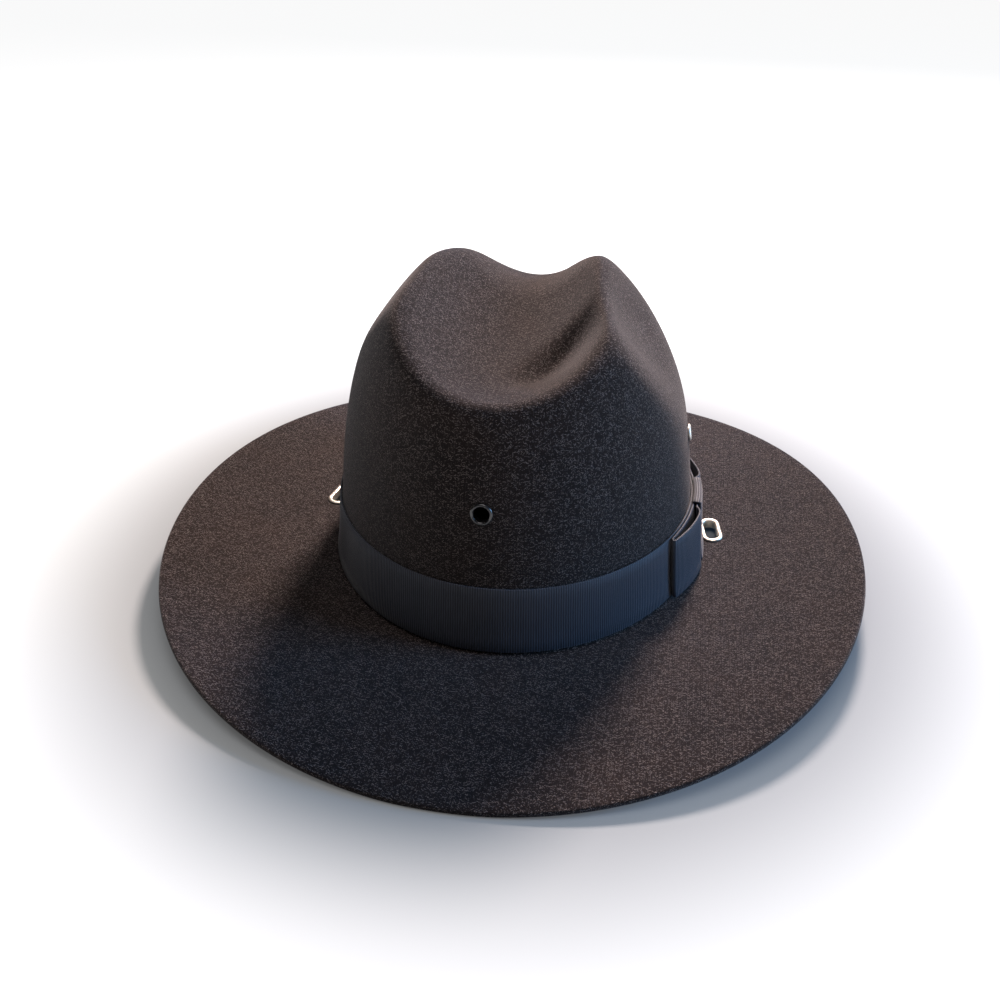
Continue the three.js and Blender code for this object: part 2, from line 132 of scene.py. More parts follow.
class HatShape(bpy.types.PropertyGroup):
    """Sizes of the felt"""

    felt: FloatProperty(
        name="Felt", description="Thickness of the felt", default=0.0025, unit="LENGTH", precision=4)
    crown_length: FloatProperty(
        name="Crown length", description="Crown at its foot, front to back", default=0.1955, unit="LENGTH")
    crown_width: FloatProperty(
        name="Crown width", description="Crown at its foot, side to side", default=0.183, unit="LENGTH")
    crown_height: FloatProperty(
        name="Crown height", description="Height of the crown before it is dented",
        default=0.1527, unit="LENGTH")
    crown_setback: FloatProperty(
        name="Crown setback", description="How far the crown sits behind the brim's middle", default=0.0038,
        unit="LENGTH", precision=4)
    crown_taper: FloatProperty(
        name="Crown taper", description="Share by which the crown narrows to its top", default=0.108)
    crown_taper_power: FloatProperty(
        name="Crown taper power", description="How the narrowing spreads up from the foot", default=0.6)
    crown_bluntness: FloatProperty(
        name="Crown bluntness", description="How square the crown's oval is", default=0.005)
    crown_side_rise: FloatProperty(
        name="Crown side rise", description="Rise of the crown's foot at the sides", default=0.0012,
        unit="LENGTH", precision=4)
    shoulder_front: FloatProperty(
        name="Front shoulder", description="Roundness of the crown's front shoulder", default=3.25)
    shoulder_back: FloatProperty(
        name="Back shoulder", description="Roundness of the crown's back shoulder", default=2.49)
    shoulder_side: FloatProperty(
        name="Side shoulder", description="Roundness added at the crown's sides", default=-0.02)
    rim_rounding: FloatProperty(
        name="Rim rounding", description="Rounding between the crown and its dents", default=0.013,
        unit="LENGTH", precision=4)
    ridge_rounding: FloatProperty(
        name="Ridge rounding", description="Rounding between two dents",
        default=0.01, unit="LENGTH", precision=4)
    brim_length: FloatProperty(
        name="Brim length", description="Brim, front to back", default=0.3578, unit="LENGTH")
    brim_width: FloatProperty(
        name="Brim width", description="Brim, side to side", default=0.3406, unit="LENGTH")
    brim_bluntness: FloatProperty(
        name="Brim bluntness", description="How square the brim's oval is", default=-0.014)
    brim_fullness: FloatProperty(
        name="Brim fullness", description="How much fuller the brim is in front", default=0.043)
    brim_side_rise: FloatProperty(
        name="Brim side rise", description="Rise of the brim's edge at the sides",
        default=0.0196, unit="LENGTH")
    brim_side_power: FloatProperty(
        name="Brim side power", description="How the rise spreads round from the sides", default=0.86)
    brim_foot_drop: FloatProperty(
        name="Brim drop", description="How far the brim falls from the crown to its edge", default=0.002,
        unit="LENGTH", precision=4)
    brim_sweep: FloatProperty(
        name="Brim sweep", description="How the brim curves from the crown to its edge", default=1.5)
    brim_flattened: FloatProperty(
        name="Brim flattening", description="Depth of felt pressed flat where the hat rests", default=0.0005,
        unit="LENGTH", precision=4)
    brim_break: FloatProperty(
        name="Brim break", description="Radius between the crown and the brim", default=0.0015,
        unit="LENGTH", precision=4)
    edge_rounding: FloatProperty(
        name="Edge rounding", description="Rounding of the brim's cut edge", default=0.0008,
        unit="LENGTH", precision=4)


class RibbonShape(bpy.types.PropertyGroup):
    """Sizes of the band and the bow"""

    thickness: FloatProperty(
        name="Ribbon", description="Thickness of the ribbon", default=0.001, unit="LENGTH", precision=4)
    rib_pitch: FloatProperty(
        name="Rib pitch", description="From one rib to the next", default=0.0011, unit="LENGTH", precision=4)
    rib_depth: FloatProperty(
        name="Rib depth", description="Depth of the grooves between ribs", default=0.00014,
        unit="LENGTH", precision=5)
    gap: FloatProperty(
        name="Gap", description="Clearance between pieces that touch",
        default=0.0003, unit="LENGTH", precision=4)
    band_height: FloatProperty(
        name="Band height", description="Height of the band", default=0.0316, unit="LENGTH")
    bow_height: FloatProperty(
        name="Bow height", description="Height of the bow's loops", default=0.031, unit="LENGTH")
    bow_length: FloatProperty(
        name="Bow length", description="Length of the bow along the band", default=0.094, unit="LENGTH")
    bow_stand: FloatProperty(
        name="Bow stand", description="How far the loops stand off the band", default=0.0052,
        unit="LENGTH", precision=4)
    bow_setback: FloatProperty(
        name="Bow setback", description="How far the bow's middle lies behind the brim's middle",
        default=0.005, unit="LENGTH", precision=4)
    knot_width: FloatProperty(
        name="Knot width", description="Width of the knot", default=0.024, unit="LENGTH")
    knot_stand: FloatProperty(
        name="Knot stand", description="How far the loops stand off the band under the knot", default=0.0033,
        unit="LENGTH", precision=4)


class EyeletShape(bpy.types.PropertyGroup):
    """Sizes of the eyelets"""

    badge_hole: FloatProperty(
        name="Badge hole", description="Hole of the badge eyelet", default=0.0068, unit="LENGTH", precision=4)
    badge_flange: FloatProperty(
        name="Badge flange", description="Width of its lip", default=0.0015, unit="LENGTH", precision=4)
    badge_height: FloatProperty(
        name="Badge height", description="Height above the crown's foot", default=0.0664, unit="LENGTH")
    vent_hole: FloatProperty(
        name="Vent hole", description="Hole of each vent eyelet", default=0.0046, unit="LENGTH", precision=4)
    vent_flange: FloatProperty(
        name="Vent flange", description="Width of its lip", default=0.0017, unit="LENGTH", precision=4)
    vent_height: FloatProperty(
        name="Vent height", description="Height above the crown's foot", default=0.0645, unit="LENGTH")
    slot_width: FloatProperty(
        name="Slot width", description="Width of each strap slot", default=0.006, unit="LENGTH", precision=4)
    slot_length: FloatProperty(
        name="Slot length", description="Length of each strap slot", default=0.017, unit="LENGTH")
    slot_flange: FloatProperty(
        name="Slot flange", description="Width of its lip", default=0.0022, unit="LENGTH", precision=4)
    slot_offset: FloatProperty(
        name="Slot offset", description="From the crown's wall to the slot", default=0.0106, unit="LENGTH")
    slot_setback: FloatProperty(
        name="Slot setback", description="How far the slot lies behind the brim's middle", default=0.0188,
        unit="LENGTH")
    metal: FloatProperty(
        name="Metal", description="Wall of an eyelet's barrel", default=0.0006, unit="LENGTH", precision=4)
    lip: FloatProperty(
        name="Lip", description="Height of an eyelet's lip", default=0.0009, unit="LENGTH", precision=4)
    washer_gap: FloatProperty(
        name="Washer gap", description="Clearance behind the washer",
        default=0.0006, unit="LENGTH", precision=4)


class HatColours(bpy.types.PropertyGroup):
    """Colours of the hat and its stage"""

    felt_dark: FloatVectorProperty(
        name="Felt, dark", description="Darkest colour of the felt", subtype="COLOR",
        default=(0.0042, 0.0028, 0.0028))
    felt_warm: FloatVectorProperty(
        name="Felt, warm", description="Brown cast of the felt",
        subtype="COLOR", default=(0.0105, 0.0058, 0.0043))
    fibre: FloatVectorProperty(
        name="Fibres", description="Pale loose fibres on the felt",
        subtype="COLOR", default=(0.24, 0.2, 0.185))
    # The ribbon's two colours are partly painted light: the dark one is painted shade in the grooves, and the
    # light one is a painted highlight on the rib crests.
    ribbon_dark_and_groove_shade: FloatVectorProperty(
        name="Ribbon, dark", description="Grooves of the ribbon",
        subtype="COLOR", default=(0.009, 0.01, 0.015))
    ribbon_light_and_rib_highlight: FloatVectorProperty(
        name="Ribbon, light", description="Ribs of the ribbon",
        subtype="COLOR", default=(0.036, 0.042, 0.058))
    enamel: FloatVectorProperty(
        name="Enamel", description="Black enamel of the badge eyelet", subtype="COLOR",
        default=(0.008, 0.008, 0.009))
    metal: FloatVectorProperty(
        name="Metal", description="Pale metal of the other eyelets",
        subtype="COLOR", default=(0.72, 0.67, 0.58))
    floor: FloatVectorProperty(
        name="Floor", description="Floor of the stage", subtype="COLOR", default=(0.2, 0.22, 0.23))


class StageSettings(bpy.types.PropertyGroup):
    """Camera, lights and floor"""

    azimuth: FloatProperty(
        name="Azimuth", description="Turn of the camera round the hat", default=math.radians(10.391),
        subtype="ANGLE")
    elevation: FloatProperty(
        name="Elevation", description="Height of the camera as an angle", default=math.radians(32.222),
        subtype="ANGLE")
    distance: FloatProperty(
        name="Distance", description="From the camera to the point it looks at",
        default=0.487994, unit="LENGTH")
    aside: FloatProperty(
        name="Aside", description="Sideways place of that point",
        default=-0.007821, unit="LENGTH", precision=4)
    height: FloatProperty(
        name="Height", description="Height of that point", default=0.026327, unit="LENGTH", precision=4)
    lens: FloatProperty(
        name="Lens", description="Focal length in millimetres on a 36 mm sensor", default=34.236)
    key_power: FloatProperty(
        name="Key", description="Power of the soft light from behind", default=52.0, unit="POWER")
    fill_power: FloatProperty(
        name="Fill", description="Power of the cool light from the wearer's left", default=27.0, unit="POWER")
    # Painted light: the floor glows though it is no lamp. It glows less near the hat, which paints a soft
    # shadow round it.
    floor_glow: FloatProperty(
        name="Floor glow", description="Light that the pale floor gives of itself", default=0.94)
    painted_shadow_fade_start: FloatProperty(
        name="Glow start", description="Distance from the hat's middle at which the floor starts to glow",
        default=0.15, unit="LENGTH")
    painted_shadow_fade_end: FloatProperty(
        name="Glow full", description="Distance from the hat's middle from which the floor glows fully",
        default=0.3, unit="LENGTH")
    top_power: FloatProperty(
        name="Top", description="Power of the weak light from above", default=8.0, unit="POWER")
    sky_power: FloatProperty(
        name="Sky", description="Strength of the even light all round", default=0.02)


def settings():
    """The sizes of the felt, the ribbon and the eyelets, and the colours."""
    scene = bpy.context.scene
    return scene.hat_shape, scene.hat_ribbon, scene.hat_eyelets, scene.hat_colours


def soft_min(a, b, rounding):
    """The lower of two heights, with the crease between them rounded."""
    share = np.clip(rounding - np.abs(a - b), 0, None) / rounding
    return np.minimum(a, b) - share * share * rounding / 4


def stack(x, y, z):
    """Places from their three coordinates."""
    return np.stack(np.broadcast_arrays(x, y, z), axis=-1)


def unit(vectors):
    return vectors / np.linalg.norm(vectors, axis=-1, keepdims=True)


class Felt:
    """The felt's outer surface, worked out from the hat's sizes.

    An angle runs round the hat from the wearer's left by way of the back. A lean runs down the crown from its
    top, where it is 0, to its foot, where it is a right angle. A share runs over the brim from foot to edge.
    """

    slope_step = 0.004
    least_lean = 0.03
    ridge_softening = 0.01
    fold_reach = 0.75
    halvings = 36

    def __init__(self, shape):
        self.shape = shape
        self.brim_foot = shape.felt + shape.brim_foot_drop
        self.crown_foot = self.brim_foot + shape.brim_break

    def oval(self, angle, half_length, half_width, bluntness, fullness):
        swell = 1 + bluntness * (np.cos(4 * angle) - 1) / 2
        x = half_width * np.cos(angle) * swell * (1 - fullness * np.sin(angle))
        return x, half_length * np.sin(angle) * swell

    def crown_oval(self, angle, out=0.0):
        s = self.shape
        x, y = self.oval(angle, s.crown_length / 2 + out, s.crown_width / 2 + out, s.crown_bluntness, 0)
        return x, y + s.crown_setback

    def brim_oval(self, angle):
        s = self.shape
        return self.oval(angle, s.brim_length / 2, s.brim_width / 2, s.brim_bluntness, s.brim_fullness)

    def foot_rise(self, angle):
        x, y = self.crown_oval(angle)
        return self.shape.crown_side_rise * x**2 / (x**2 + y**2)

    def fold_depth(self, u, v):
        """How deep the pinch folds are at a place in half widths and half lengths."""
        depth = np.zeros_like(u)
        for fold in FOLDS:
            run = np.subtract(fold["end"], fold["start"])
            length = np.hypot(*run)
            from_u, from_v = u - fold["start"][0], v - fold["start"][1]
            along = (from_u * run[0] + from_v * run[1]) / length
            beside = (from_u * run[1] - from_v * run[0]) / length
            bank = np.where(beside > 0, fold["near_bank"], fold["far_bank"])
            fade = np.minimum(np.abs(along / length - 0.5) / self.fold_reach, 1)
            depth += fold["depth"] * (1 - fade**2) ** 2 * np.exp(-((beside / bank) ** 2))
        return depth * self.shape.crown_height

    def hollow(self, side, out, across):
        """Height of one side's dent, out from the crown's middle and across that way."""
        d = DENTS[side]
        past = out - d["centre"]
        squeeze = 1 - d["narrowing"] * past
        rise = d["along"] * past**2 - d["tilt"] * past + d["across"] * squeeze * (across - d["shift"]) ** 2
        return self.crown_foot + self.shape.crown_height * (d["floor"] + rise)

    def top_height(self, x, y):
        """Height of all the dents together."""
        s = self.shape
        u = x / (s.crown_width / 2)
        v = (y - s.crown_setback) / (s.crown_length / 2)
        softened = np.hypot(u, self.ridge_softening)
        front = self.hollow("front", -v, u) - self.fold_depth(u, v)
        ends = soft_min(front, self.hollow("back", v, u), s.ridge_rounding)
        sides = np.where(u >= 0, self.hollow("left", softened, v), self.hollow("right", softened, v))
        return soft_min(ends, sides, s.ridge_rounding)

    def crown(self, angle, lean):
        s = self.shape
        c, sine = np.cos(angle), np.sin(angle)
        frontness = (1 - sine) / 2
        power = s.shoulder_back + (s.shoulder_front - s.shoulder_back) * frontness + s.shoulder_side * c * c
        lean_sine, lean_cosine = np.sin(lean), np.maximum(np.cos(lean), 0)
        reach = (lean_sine**power + lean_cosine**power) ** (-1 / power)
        up = reach * lean_cosine
        spread = reach * lean_sine * (1 - s.crown_taper * up**s.crown_taper_power)
        foot_x, foot_y = self.crown_oval(angle)
        x = foot_x * spread
        y = (foot_y - s.crown_setback) * spread + s.crown_setback
        dome = self.crown_foot + self.foot_rise(angle) * (1 - up) + s.crown_height * up
        return stack(x, y, soft_min(dome, self.top_height(x, y), s.rim_rounding))

    def crown_normal(self, angle, lean):
        step = self.slope_step
        at = np.clip(lean, self.least_lean, RIGHT_ANGLE - step)
        around = self.crown(angle + step, at) - self.crown(angle - step, at)
        down = self.crown(angle, at + step) - self.crown(angle, at - step)
        return unit(np.cross(down, around))

    def lean_at(self, angle, height):
        """The lean at which the wall stands at a height above the crown's foot, below the dents."""
        level = self.crown_foot + self.foot_rise(angle) + height
        low = np.full(np.shape(level), RIGHT_ANGLE / 2)
        high = np.full(np.shape(level), RIGHT_ANGLE)
        for _ in range(self.halvings):
            middle = (low + high) / 2
            above = self.crown(angle, middle)[..., 2] > level
            low, high = np.where(above, middle, low), np.where(above, high, middle)
        return (low + high) / 2

    def beside_wall(self, angle, height, out):
        """Points beside the crown's wall, at heights above its foot and distances out from the felt."""
        lean = self.lean_at(angle, height)
        normal = self.crown_normal(angle, lean)
        level = unit(normal * np.array([1, 1, 0]))
        return self.crown(angle, lean) + level * np.expand_dims(out, -1)

    def brim(self, angle, share):
        s = self.shape
        inner_x, inner_y = self.crown_oval(angle, s.brim_break)
        outer_x, outer_y = self.brim_oval(angle)
        sideways = outer_x**2 / (outer_x**2 + outer_y**2)
        foot_rise = s.brim_foot_drop + self.foot_rise(angle)
        edge_rise = s.brim_side_rise * sideways**s.brim_side_power - s.brim_flattened
        rise = foot_rise + (edge_rise - foot_rise) * share**s.brim_sweep
        x = inner_x + (outer_x - inner_x) * share
        y = inner_y + (outer_y - inner_y) * share
        return stack(x, y, np.maximum(rise, 0) + s.felt)

    def brim_normal(self, angle, share):
        step = self.slope_step
        around = self.brim(angle + step, share) - self.brim(angle - step, share)
        out = self.brim(angle, share + step) - self.brim(angle, share - step)
        return unit(np.cross(out, around))

    def fillet(self, angle, turn):
        """The small concave curve between the crown's wall and the brim."""
        radius = self.shape.brim_break
        x, y = self.crown_oval(angle, radius * (1 - np.cos(turn)))
        return stack(x, y, self.brim_foot + self.foot_rise(angle) + radius * (1 - np.sin(turn)))


def deselect_all():
    if bpy.context.object and bpy.context.object.mode != "OBJECT":
        bpy.ops.object.mode_set(mode="OBJECT")
    bpy.ops.object.select_all(action="DESELECT")


def steps_along(line):
    """How far along a line each of its places lies."""
    return np.concatenate([[0], np.cumsum(np.linalg.norm(np.diff(line, axis=0), axis=1))])


def pick(piece):
    deselect_all()
    piece.select_set(True)
    bpy.context.view_layer.objects.active = piece
    return piece


def clean(piece, distance=MERGE, shell=False):
    """Merges seams and poles, and turns the faces outwards, or up where the piece is an open shell."""
    pick(piece)
    bpy.ops.object.mode_set(mode="EDIT")
    bpy.ops.mesh.select_all(action="SELECT")
    bpy.ops.mesh.remove_doubles(threshold=distance)
    bpy.ops.mesh.normals_make_consistent(inside=False)
    bpy.ops.object.mode_set(mode="OBJECT")
    if shell and sum(face.normal.z * face.area for face in piece.data.polygons) < 0:
        bpy.ops.object.mode_set(mode="EDIT")
        bpy.ops.mesh.flip_normals()
        bpy.ops.object.mode_set(mode="OBJECT")
    return piece


def shaped_grid(name, points, uv=None):
    """A grid whose vertices are moved onto points, an array of rows of places."""
    rows, across = points.shape[:2]
    deselect_all()
    bpy.ops.mesh.primitive_grid_add(x_subdivisions=across - 1, y_subdivisions=rows - 1, size=1)
    piece = bpy.context.object
    piece.name = name
    piece.data.name = name
    piece.data.vertices.foreach_set("co", points.reshape(-1).astype(np.float32))
    layer = piece.data.uv_layers.active or piece.data.uv_layers.new(name="along")
    layer.name = "along"
    if uv is not None:
        index = np.zeros(len(piece.data.loops), np.int32)
        piece.data.loops.foreach_get("vertex_index", index)
        layer.data.foreach_set("uv", uv.reshape(-1, 2)[index].reshape(-1).astype(np.float32))
    piece.data.update()
    return piece


def apply_modifier(piece, kind, name, **values):
    pick(piece)
    modifier = piece.modifiers.new(name, kind)
    for key, value in values.items():
        setattr(modifier, key, value)
    bpy.ops.object.modifier_apply(modifier=modifier.name)
    return piece


def smooth(piece, degrees):
    pick(piece)
    bpy.ops.object.shade_smooth_by_angle(angle=math.radians(degrees))


def settle(piece, slot, material, *nodes):
    """Gives a finished piece its material and its body, and hides the solids that it stands for."""
    piece.data.materials.clear()
    piece.data.materials.append(material)
    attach(piece, "root")
    if nodes:
        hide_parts(*nodes)
    return piece


class Value:
    """A socket that can be used in arithmetic, which adds the nodes for it."""

    def __init__(self, finish, socket):
        self.finish = finish
        self.socket = socket

    def _with(self, operation, first, second):
        return self.finish.maths(operation, first, second)

    def __add__(self, other):
        return self._with("ADD", self, other)

    def __radd__(self, other):
        return self._with("ADD", other, self)

    def __rsub__(self, other):
        return self._with("SUBTRACT", other, self)

    def __mul__(self, other):
        return self._with("MULTIPLY", self, other)

    def __rmul__(self, other):
        return self._with("MULTIPLY", other, self)

    def other(self, output):
        """Another output of the same node."""
        return Value(self.finish, self.socket.node.outputs[output])


class Finish:
    """A material, with short ways to add its nodes."""

    def __init__(self, name):
        self.material = bpy.data.materials.new(name)
        self.material.use_nodes = True
        self.tree = self.material.node_tree
        self.shader = self.tree.nodes["Principled BSDF"]

    def node(self, kind, options=None, inputs=None, output=0):
        node = self.tree.nodes.new("ShaderNode" + kind)
        for key, value in (options or {}).items():
            setattr(node, key, value)
        for key, value in (inputs or {}).items():
            self.feed(node.inputs[key], value)
        return Value(self, node.outputs[output])

    def feed(self, socket, value):
        if isinstance(value, Value):
            self.tree.links.new(value.socket, socket)
        elif socket.type == "RGBA" and len(value) == 3:
            socket.default_value = (*value, 1)
        else:
            socket.default_value = value

    def maths(self, operation, first, second=0.0):
        return self.node("Math", {"operation": operation}, {0: first, 1: second})

    def vector(self, operation, first, second=(0, 0, 0), scale=1.0):
        output = "Value" if operation in ("DOT_PRODUCT", "LENGTH", "DISTANCE") else "Vector"
        inputs = {0: first, "Scale": scale} if operation == "SCALE" else {0: first, 1: second}
        return self.node("VectorMath", {"operation": operation}, inputs, output)

    def step(self, value, low, high):
        """0 below low and 1 above high, with a smooth change between; high below low turns it round."""
        if high < low:
            return 1 - self.step(value, high, low)
        return self.node(
            "MapRange", {"interpolation_type": "SMOOTHSTEP"},
            {"Value": value, "From Min": low, "From Max": high, "To Min": 0.0, "To Max": 1.0})

    def blend(self, share, first, second):
        """Colours between first and second."""
        return self.node("Mix", {"data_type": "RGBA"}, {"Factor": share, 6: first, 7: second}, 2)

    def noise(self, place, scale, detail=2.0, roughness=0.5):
        """Smooth noise about 0.5, with scale features in a millimetre."""
        return self.node(
            "TexNoise", None, {"Vector": place, "Scale": scale, "Detail": detail, "Roughness": roughness})

    def millimetres(self):
        place = self.node("TexCoord", None, None, "Object")
        return self.vector("SCALE", place, scale=float(MILLIMETRES))

    def bump(self, height, distance, strength):
        return self.node("Bump", None, {"Height": height, "Distance": distance, "Strength": strength})

    def along_plane(self, direction, normal):
        """What is left of a direction once its part along the normal is taken off."""
        lift = self.vector("DOT_PRODUCT", direction, normal)
        return self.vector("SUBTRACT", direction, self.vector("SCALE", normal, scale=lift))

    def set(self, **values):
        """Feeds the shader's sockets; an underscore stands for a space in a socket's name."""
        for key, value in values.items():
            self.feed(self.shader.inputs[key.replace("_", " ")], value)
        return self.material


def fibre_layer(finish, place, normal, cell, reach, width, offset):
    """Short straight fibres that lie on the surface, one in each cell: 1 on a fibre, 0 off it."""
    scaled = finish.vector("ADD", finish.vector("SCALE", place, scale=1.0 / cell), offset)
    seed = finish.node("TexVoronoi", {"feature": "F1"}, {"Vector": scaled, "Scale": 1.0}, "Color")
    away = finish.vector("SUBTRACT", scaled, seed.other("Position"))
    flat = finish.along_plane(away, normal)
    loose = finish.vector("SUBTRACT", seed, (0.5, 0.5, 0.5))
    heading = finish.vector("NORMALIZE", finish.along_plane(loose, normal))
    along = finish.vector("DOT_PRODUCT", flat, heading)
    across = finish.vector("LENGTH", finish.along_plane(flat, heading))
    on_line = finish.step(across, width / cell, 0.4 * width / cell)
    in_reach = finish.step(finish.maths("ABSOLUTE", along), reach / cell, 0.7 * reach / cell)
    kept = finish.step(finish.vector("DOT_PRODUCT", seed, (1.0, 0.0, 0.0)), 0.45, 1.0)
    return on_line * in_reach * kept


def felt_finish(colours):
    """Dark felt, a little browner in clouds, under pale loose fibres."""
    finish = Finish("brushed_felt")
    place = finish.millimetres()
    normal = finish.node("NewGeometry", None, None, "Normal")
    cloud = finish.noise(place, 0.035, 3.0, 0.6)
    patch = finish.noise(place, 0.4, 3.0, 0.65)
    grain = finish.noise(place, 2.6, 3.0, 0.7)
    first, second, third = (fibre_layer(finish, place, normal, **layer) for layer in FIBRE_LAYERS)
    loose = finish.maths("MAXIMUM", finish.maths("MAXIMUM", first, second), third)
    warmth = finish.step(cloud * 0.5 + patch * 0.3 + grain * 0.4, 0.42, 0.82)
    ground = finish.blend(warmth, colours.felt_dark[:], colours.felt_warm[:])
    colour = finish.blend(loose * 0.6, ground, colours.fibre[:])
    height = grain * 0.6 + patch * 0.25 + loose * 0.45
    return finish.set(
        Base_Color=colour, Roughness=0.95, Sheen_Weight=0.125, Sheen_Roughness=0.5,
        Sheen_Tint=(1.0, 0.97, 1.0, 1.0), Specular_IOR_Level=0.1, Normal=finish.bump(height, 0.00045, 0.75))


def ribbon_finish(colours, name):
    """Ribbed ribbon: its UV map runs in ribs along it, and in millimetres across it."""
    thread_pitch = 0.34
    finish = Finish(name)
    uv = finish.node("UVMap", {"uv_map": "along"}, None, "UV")
    rib = finish.node("SeparateXYZ", None, {0: uv})
    across = rib.other(1)
    crest = 0.5 + 0.5 * finish.maths("COSINE", rib * FULL_TURN)
    offset_row = finish.maths("FLOOR", rib + 0.5) * math.pi
    thread = 0.5 + 0.5 * finish.maths("SINE", across * (FULL_TURN / thread_pitch) + offset_row)
    place = finish.millimetres()
    uneven = finish.noise(place, 0.06, 2.0)
    fuzz = finish.noise(place, 3.0, 2.0)
    # Painted shade and highlight: the colour goes dark in the grooves and light on the rib crests. A thread
    # pattern and noise add uneven tone.
    share = finish.step(crest * 0.6 + thread * 0.16 + uneven * 0.3 + fuzz * 0.2, 0.25, 1.15)
    colour = finish.blend(share, colours.ribbon_dark_and_groove_shade[:], colours.ribbon_light_and_rib_highlight[:])
    height = crest * 0.4 + thread * crest * 0.35 + fuzz * 0.3
    return finish.set(
        Base_Color=colour, Roughness=0.5 + 0.25 * (1 - crest), Sheen_Weight=0.25, Sheen_Roughness=0.35,
        Specular_IOR_Level=0.4, Normal=finish.bump(height, 0.00012, 0.8))


def enamel_finish(colours):
    """Gloss black enamel, worn to the metal in a few spots."""
    finish = Finish("black_enamel")
    place = finish.millimetres()
    dents = finish.noise(place, 0.9, 3.0)
    pores = finish.noise(place, 4.0, 2.0)
    worn = finish.step(finish.noise(place, 1.7, 4.0, 0.7), 0.64, 0.7)
    colour = finish.blend(worn, colours.enamel[:], colours.metal[:])
    return finish.set(
        Base_Color=colour, Metallic=worn * 0.8, Roughness=0.16 + pores * 0.2, Coat_Weight=0.5,
        Normal=finish.bump(dents * 0.7 + pores * 0.2, 0.00025, 0.5))


def metal_finish(colours):
    """Pale metal with fine scratches, dulled in patches."""
    tarnished = [0.6 * channel for channel in colours.metal]
    finish = Finish("pale_metal")
    place = finish.millimetres()
    tarnish = finish.step(finish.noise(place, 0.5, 4.0, 0.65), 0.4, 0.75)
    scratches = finish.noise(finish.vector("MULTIPLY", place, (1.0, 6.0, 1.0)), 1.2, 3.0)
    colour = finish.blend(tarnish * 0.5, colours.metal[:], tarnished)
    return finish.set(
        Base_Color=colour, Metallic=0.85, Roughness=0.26 + 0.22 * tarnish + 0.12 * scratches,
        Normal=finish.bump(scratches, 0.00012, 0.4))


def floor_finish(colours, stage):
    """Pale floor with painted light: it glows a little though it is no lamp, but not under the hat, where the
    missing glow paints a soft shadow round it.
    """
    finish = Finish("stage_floor")
    out = finish.vector("LENGTH", finish.node("TexCoord", None, None, "Object"))
    # Painted shadow: no glow within the first distance of the hat's middle, and full glow past the second.
    glow_outside_painted_shadow = finish.step(out, stage.painted_shadow_fade_start, stage.painted_shadow_fade_end)
    return finish.set(
        Base_Color=colours.floor[:], Roughness=0.9, Specular_IOR_Level=0.1,
        Emission_Color=finish.blend(glow_outside_painted_shadow, (0.0, 0.0, 0.0), (1.0, 1.0, 1.0)),
        Emission_Strength=stage.floor_glow)


def crowded(count, crowding, at):
    """Shares from 0 to 1 that lie closer together about one place."""
    share = np.linspace(0, 1, count + 1)
    wave = np.sin(FULL_TURN * (share - at))
    return share - crowding / FULL_TURN * (wave - wave[0])


def tangent_frame(origin, normal, level):
    """A matrix whose x runs level along a surface, y across it and z out of it."""
    across = unit(np.cross(normal, level))
    sideways = np.cross(across, normal)
    matrix = Matrix.Identity(4)
    for column, axis in enumerate((sideways, across, normal, origin)):
        for row in range(3):
            matrix[row][column] = float(axis[row])
    return matrix


def wall_frame(felt, angle, height):
    """Where an eyelet sits in the crown's wall."""
    lean = felt.lean_at(np.float64(angle), np.float64(height))
    normal = felt.crown_normal(angle, lean)
    return tangent_frame(felt.crown(angle, lean), normal, unit(np.cross((0, 0, 1), normal)))


def brim_frame(felt, eyelets, side):
    """Where a strap eyelet sits in the brim, side 1 on the wearer's left and -1 on the right."""
    shape = felt.shape
    turn = 0.01
    angle = math.asin((eyelets.slot_setback - shape.crown_setback) / (shape.crown_length / 2))
    turned = angle if side > 0 else math.pi - angle
    span = felt.brim(turned, 1.0) - felt.brim(turned, 0.0)
    share = (eyelets.slot_offset - shape.brim_break) / math.hypot(span[0], span[1])
    ahead = unit(felt.brim(turned + turn, share) - felt.brim(turned - turn, share))
    normal = felt.brim_normal(turned, share)
    return tangent_frame(felt.brim(turned, share), normal, unit(np.cross(ahead, normal)))


def eyelet_rows(felt, eyelets):
    """Each eyelet's node, hole width and length, flange, place and material slot."""
    e = eyelets
    vent = dict(width=e.vent_hole, length=e.vent_hole, flange=e.vent_flange, slot="pale_metal")
    slot = dict(width=e.slot_width, length=e.slot_length, flange=e.slot_flange, slot="pale_metal")
    return [
        dict(node="badge_eyelet", width=e.badge_hole, length=e.badge_hole, flange=e.badge_flange,
             slot="black_enamel", frame=wall_frame(felt, -RIGHT_ANGLE, e.badge_height)),
        dict(node="vent_eyelet_left", frame=wall_frame(felt, 0.0, e.vent_height), **vent),
        dict(node="vent_eyelet_right", frame=wall_frame(felt, math.pi, e.vent_height), **vent),
        dict(node="strap_eyelet_left", frame=brim_frame(felt, e, 1), **slot),
        dict(node="strap_eyelet_right", frame=brim_frame(felt, e, -1), **slot),
    ]


def stretch_to_slot(piece, width, length):
    """Pulls a round piece's two halves apart along its own y."""
    straight = (length - width) / 2
    if straight > 0:
        for vertex in piece.data.vertices:
            vertex.co.y += math.copysign(straight, vertex.co.y)


def hole_cutter(row, felt_thickness, clearance):
    """The rod or slot that cuts an eyelet's hole through the felt."""
    deselect_all()
    sides = 48
    bpy.ops.mesh.primitive_cylinder_add(
        vertices=sides, radius=row["width"] / 2 + clearance, depth=felt_thickness * 6,
        rotation=(0, 0, math.pi / sides))
    cutter = bpy.context.object
    bpy.ops.object.transform_apply(location=True, rotation=True, scale=True)
    stretch_to_slot(cutter, row["width"], row["length"])
    cutter.data.transform(row["frame"])
    return cutter


